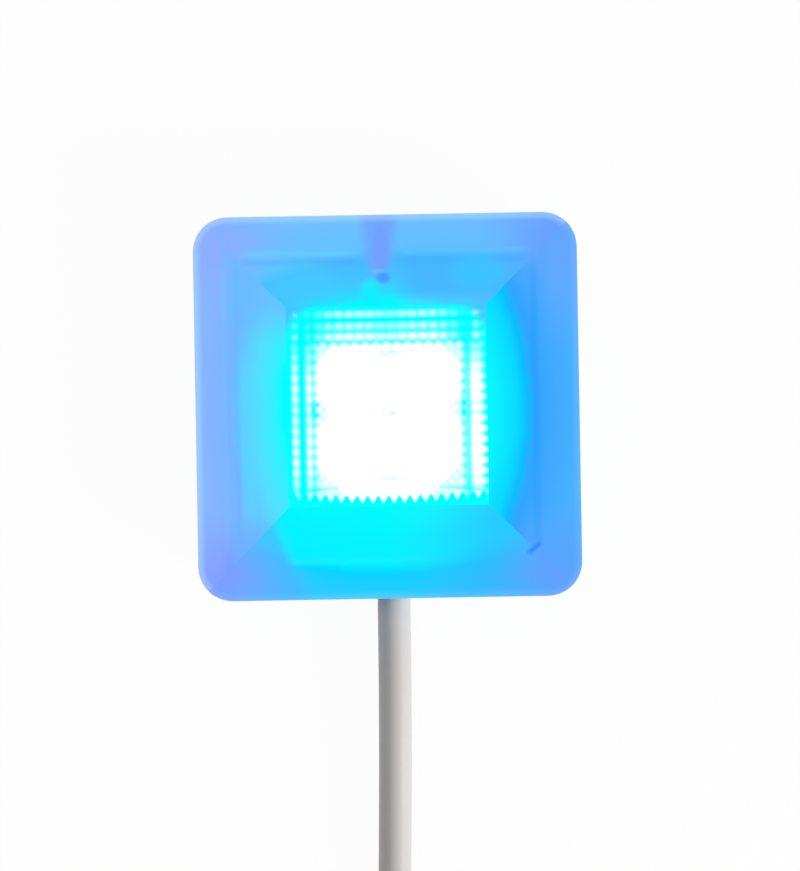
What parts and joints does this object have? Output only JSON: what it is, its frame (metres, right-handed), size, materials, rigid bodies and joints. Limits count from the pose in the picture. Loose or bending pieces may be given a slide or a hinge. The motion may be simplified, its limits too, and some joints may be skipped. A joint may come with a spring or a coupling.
{
  "type": "led signal light",
  "caption": "Square LED signal light with a glowing pyramid-shaped cover, a prismatic centre, a flat screw-on back and a grey flying lead.",
  "frame": {"origin": "centre of the flat back face, on the surface the light lies on", "axes": "+Z is the way the light shines; the lead leaves through the -Y side; +X is to the right seen from the front"},
  "size_m": [0.0954, 0.1783, 0.02],
  "materials": {
    "base_plastic": "light grey fine spark texture",
    "cable_jacket": "satin grey jacket",
    "capacitor_tan": "moulded",
    "chip_black": "moulded",
    "circuit_board": "white solder mask",
    "clamp_nylon": "natural nylon",
    "collar_plastic": "satin",
    "core_brown": "satin",
    "core_green": "satin",
    "core_white": "satin",
    "core_yellow": "satin",
    "ferrule_tin": "tin plated",
    "grommet_rubber": "matt grey",
    "insert_brass": "turned",
    "led_ceramic": "white ceramic",
    "led_silicone": "clear silicone",
    "lit_cover": "satin translucent blue, glowing",
    "seal_rubber": "matt",
    "solder": "bright",
    "steel_screws": "zinc plated",
    "tie_plastic": "matt",
    "vent_black": "moulded"
  },
  "bodies": {
    "root": {"base": "base_plastic", "board_screws": "steel_screws", "cable": "cable_jacket", "cable_clamp": "clamp_nylon", "cable_coil": "cable_jacket", "clamp_screws": "steel_screws", "coil_tie_1": "tie_plastic", "coil_tie_2": "tie_plastic", "core_brown": "core_brown", "core_brown_inner": "core_brown", "core_green": "core_green", "core_green_inner": "core_green", "core_white": "core_white", "core_white_inner": "core_white", "core_yellow": "core_yellow", "core_yellow_inner": "core_yellow", "cover_screw": "steel_screws", "ferrule_brown": "ferrule_tin", "ferrule_collar_brown": "collar_plastic", "ferrule_collar_green": "collar_plastic", "ferrule_collar_white": "collar_plastic", "ferrule_collar_yellow": "collar_plastic", "ferrule_green": "ferrule_tin", "ferrule_white": "ferrule_tin", "ferrule_yellow": "ferrule_tin", "flash_controller": "chip_black", "gasket": "seal_rubber", "grommet": "grommet_rubber", "insert_left": "insert_brass", "insert_right": "insert_brass", "led_board": "circuit_board", "led_body_1": "led_ceramic", "led_body_2": "led_ceramic", "led_body_3": "led_ceramic", "led_body_4": "led_ceramic", "led_dome_1": "led_silicone", "led_dome_2": "led_silicone", "led_dome_3": "led_silicone", "led_dome_4": "led_silicone", "lens_cover": "lit_cover", "polarity_diode": "chip_black", "regulator_1": "chip_black", "regulator_2": "chip_black", "resistor_1": "chip_black", "resistor_2": "chip_black", "resistor_3": "chip_black", "resistor_4": "chip_black", "seal_washer": "seal_rubber", "smoothing_capacitor": "capacitor_tan", "solder_joint_brown": "solder", "solder_joint_green": "solder", "solder_joint_white": "solder", "solder_joint_yellow": "solder", "surge_diode": "chip_black", "vent_plug": "vent_black"}
  },
  "joints": []
}
